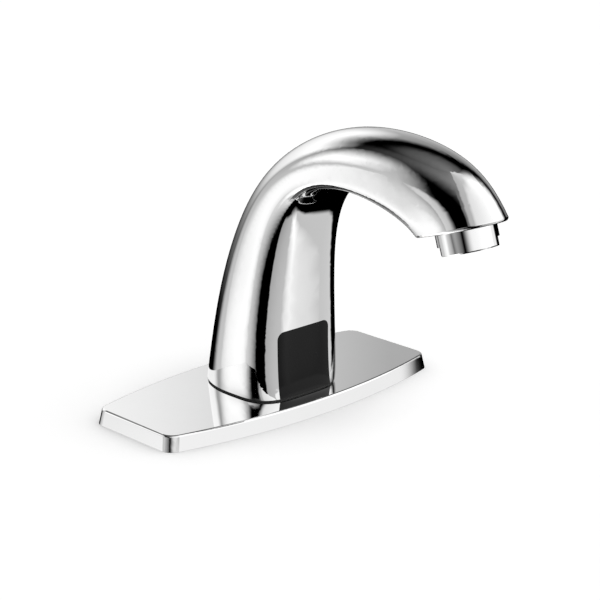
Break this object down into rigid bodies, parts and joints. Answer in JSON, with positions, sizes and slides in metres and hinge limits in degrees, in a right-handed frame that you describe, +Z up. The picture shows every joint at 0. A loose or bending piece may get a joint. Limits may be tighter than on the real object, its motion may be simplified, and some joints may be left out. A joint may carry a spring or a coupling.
{
  "type": "sensor tap",
  "caption": "Hands-free basin tap: a chromed column and curved spout in one casting on a long cover plate, with a dark sensor window at the foot and a screw-out aerator.",
  "frame": {"origin": "on the worktop's top face, at the centre of the tap hole", "axes": "+Z up out of the worktop, -Y towards the user along the spout, X along the cover plate"},
  "size_m": [0.16, 0.1707, 0.2276],
  "materials": {
    "chrome_body": "polished",
    "chrome_plate": "polished",
    "chrome_aerator": "polished",
    "black_rubber": "matt",
    "grey_foam": "matt",
    "black_plastic": "fine texture",
    "dark_lens": "gloss",
    "circuit_board": "satin",
    "clear_lens": "gloss",
    "dark_diode": "gloss",
    "steel": "machined",
    "cast_zinc": "cast",
    "brass": "machined",
    "valve_plastic": "satin",
    "white_plastic": "satin",
    "copper": "enamelled wire",
    "grid_plastic": "satin"
  },
  "bodies": {
    "tap": {"spout_body": "chrome_body", "deck_plate": "chrome_plate", "body_base_seal": "black_rubber", "window_seal": "black_rubber", "deck_gasket": "grey_foam", "plate_insert": "black_plastic", "sensor_window": "dark_lens", "sensor_housing": "black_plastic", "sensor_cover": "black_plastic", "sensor_board": "circuit_board", "ir_emitter": "clear_lens", "ir_receiver": "dark_diode", "sensor_chip": "black_plastic", "sensor_screws": "steel", "base_screws": "steel", "mounting_base": "cast_zinc", "mounting_shank": "brass", "inlet_tube": "brass", "inlet_nipple": "brass", "inlet_filter": "steel", "cable_grommet": "black_rubber", "valve_body": "valve_plastic", "valve_bonnet": "valve_plastic", "valve_diaphragm": "black_rubber", "valve_screws": "steel", "tube_o_ring": "black_rubber", "spout_tube": "white_plastic", "plunger_tube": "steel", "plunger_spring": "steel", "solenoid_core": "steel", "solenoid_bobbin": "black_plastic", "solenoid_winding": "copper", "solenoid_yoke": "steel", "yoke_plate": "steel", "coil_nut": "steel"},
    "plunger": {"valve_plunger": "steel", "plunger_seal": "black_rubber"},
    "diaphragm": {"diaphragm_disc": "white_plastic"},
    "aerator_seat": {"aerator_washer": "black_rubber"},
    "aerator": {"aerator_housing": "chrome_aerator", "aerator_cartridge": "white_plastic", "jet_disc": "white_plastic", "flow_regulator": "white_plastic", "aerator_screen": "white_plastic", "aerator_grid": "grid_plastic"},
    "clamp": {"clamp_washer_rubber": "black_rubber", "clamp_washer_steel": "steel"},
    "nut": {"mounting_nut": "brass"}
  },
  "joints": [
    {"name": "plunger_lift", "type": "slide", "parent": "tap", "child": "plunger", "axis": [0, 0, 1], "range_m": [0, 0.0012], "stiffness_N_per_m": 200, "springref_m": -0.004, "deforming": ["plunger_spring"]},
    {"name": "diaphragm_lift", "type": "slide", "parent": "tap", "child": "diaphragm", "axis": [0, 0, 1], "range_m": [0, 0.0015], "stiffness_N_per_m": 200, "springref_m": -0.002, "deforming": ["valve_diaphragm"]},
    {"name": "aerator_travel", "type": "slide", "parent": "tap", "child": "aerator_seat", "axis": [0, -0.3024, -0.9532], "range_m": [0, 0.00801]},
    {"name": "aerator_spin", "type": "hinge", "parent": "aerator_seat", "child": "aerator", "pos_m": [0, -0.11677, 0.10168], "axis": [0, -0.3024, -0.9532], "range_deg": [0, 2880]},
    {"name": "clamp_travel", "type": "slide", "parent": "tap", "child": "clamp", "axis": [0, 0, 1], "range_m": [-0.01401, 0.02501]},
    {"name": "nut_spin", "type": "hinge", "parent": "clamp", "child": "nut", "pos_m": [0, 0, -0.04], "axis": [0, 0, 1], "range_deg": [-3360, 6000]}
  ],
  "couplings": [
    {"joint": "aerator_travel", "follows": "aerator_spin", "m_per_rad": 0.00015915},
    {"joint": "clamp_travel", "follows": "nut_spin", "m_per_rad": 0.00023873}
  ]
}
